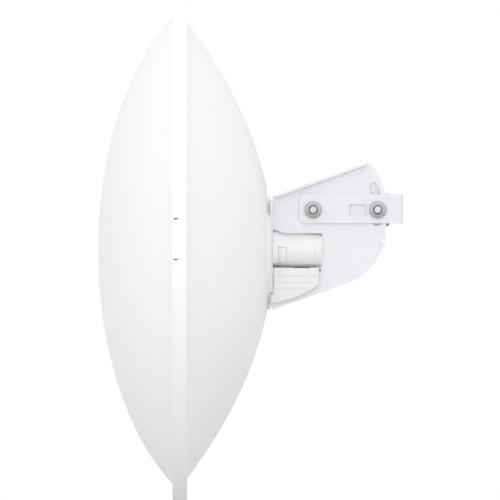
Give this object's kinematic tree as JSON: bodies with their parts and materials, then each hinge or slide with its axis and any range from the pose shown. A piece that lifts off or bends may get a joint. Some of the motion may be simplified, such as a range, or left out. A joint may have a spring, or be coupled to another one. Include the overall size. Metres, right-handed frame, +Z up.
{
  "type": "radome-covered dish antenna",
  "caption": "Parabolic dish antenna with a domed radome, a rim band with toggle latches, a rear radio housing and a tilting clamp bracket for a round pole.",
  "frame": {"origin": "on the pole's axis, level with the pivot bolt and the lock bolt", "axes": "+Z up along the pole, -X is the way the dish looks, -Y is the antenna's left side"},
  "size_m": [0.3899, 0.64, 0.64],
  "materials": {
    "radome_plastic": "matt white UV-stable plastic",
    "band_plastic": "satin white plastic",
    "rubber_seal": "black EPDM rubber",
    "dish_paint": "white powder-coated spun aluminium",
    "plate_paint": "white powder-coated die-cast aluminium",
    "bracket_paint": "white powder-coated sheet steel",
    "zinc_steel": "zinc-plated steel",
    "cast_alloy": "blasted die-cast aluminium",
    "housing_plastic": "satin white polycarbonate",
    "feed_plastic": "matt white plastic",
    "waveguide_alloy": "machined aluminium",
    "spring_steel": "stainless steel",
    "board": "green solder mask",
    "shield_steel": "tinned steel",
    "clear_plastic": "clear acrylic"
  },
  "bodies": {
    "pole_bracket": {"pole_strap": "bracket_paint", "clamp_saddle_fixed": "cast_alloy", "clamp_bolts": "zinc_steel", "pivot_bolt": "zinc_steel", "pivot_nut": "zinc_steel", "lock_bolt": "zinc_steel", "lock_nut": "zinc_steel", "slot_washers": "zinc_steel"},
    "antenna": {"radome": "radome_plastic", "radome_seal": "rubber_seal", "rim_band": "band_plastic", "latch_pins": "zinc_steel", "reflector_dish": "dish_paint", "backing_plate": "plate_paint", "dish_bolts": "zinc_steel", "dish_nuts": "zinc_steel", "feed_tube": "feed_plastic", "feed_oring": "rubber_seal", "waveguide": "waveguide_alloy", "sub_reflector": "waveguide_alloy", "feed_cap": "feed_plastic", "rear_housing": "housing_plastic", "housing_gasket": "rubber_seal", "housing_end_cap": "housing_plastic", "housing_screws": "spring_steel", "radio_board": "board", "shield_cans": "shield_steel", "ethernet_jack": "shield_steel", "status_lens": "clear_plastic", "release_spring_left": "spring_steel", "release_spring_right": "spring_steel", "bracket_base_plate": "bracket_paint", "side_plate_left": "bracket_paint", "side_plate_right": "bracket_paint"},
    "clamp_jaw": {"clamp_saddle_moving": "cast_alloy", "clamp_washers": "zinc_steel", "clamp_nuts": "zinc_steel"},
    "port_cover": {"port_cover": "housing_plastic", "cable_grommet": "rubber_seal"},
    "release_left": {"release_button_left": "housing_plastic"},
    "release_right": {"release_button_right": "housing_plastic"},
    "radome_latch_1": {"radome_latch_1": "band_plastic"},
    "radome_latch_2": {"radome_latch_2": "band_plastic"},
    "radome_latch_3": {"radome_latch_3": "band_plastic"},
    "radome_latch_4": {"radome_latch_4": "band_plastic"}
  },
  "joints": [
    {"name": "elevation", "type": "hinge", "parent": "pole_bracket", "child": "antenna", "pos_m": [-0.0436, 0, 0], "axis": [0, 1, 0], "range_deg": [-10, 20]},
    {"name": "clamp_jaw_slide", "type": "slide", "parent": "pole_bracket", "child": "clamp_jaw", "axis": [1, 0, 0], "range_m": [0, 0.009]},
    {"name": "port_cover_slide", "type": "slide", "parent": "antenna", "child": "port_cover", "axis": [0, 0, -1], "range_m": [0, 0.022]},
    {"name": "release_left_press", "type": "slide", "parent": "antenna", "child": "release_left", "axis": [0, 1, 0], "range_m": [0, 0.0025], "stiffness_N_per_m": 800, "springref_m": -0.001, "deforming": ["release_spring_left"]},
    {"name": "release_right_press", "type": "slide", "parent": "antenna", "child": "release_right", "axis": [0, -1, 0], "range_m": [0, 0.0025], "stiffness_N_per_m": 800, "springref_m": -0.001, "deforming": ["release_spring_right"]},
    {"name": "radome_latch_1_swing", "type": "hinge", "parent": "antenna", "child": "radome_latch_1", "pos_m": [-0.2109, -0.31509, -0.03791], "axis": [0, 0.0447, 0.999], "range_deg": [0, 45]},
    {"name": "radome_latch_2_swing", "type": "hinge", "parent": "antenna", "child": "radome_latch_2", "pos_m": [-0.2109, -0.01409, -0.36708], "axis": [0, -0.999, 0.0447], "range_deg": [0, 45]},
    {"name": "radome_latch_3_swing", "type": "hinge", "parent": "antenna", "child": "radome_latch_3", "pos_m": [-0.2109, 0.31509, -0.06609], "axis": [0, -0.0447, -0.999], "range_deg": [0, 45]},
    {"name": "radome_latch_4_swing", "type": "hinge", "parent": "antenna", "child": "radome_latch_4", "pos_m": [-0.2109, 0.01409, 0.26309], "axis": [0, 0.999, -0.0447], "range_deg": [0, 45]}
  ]
}
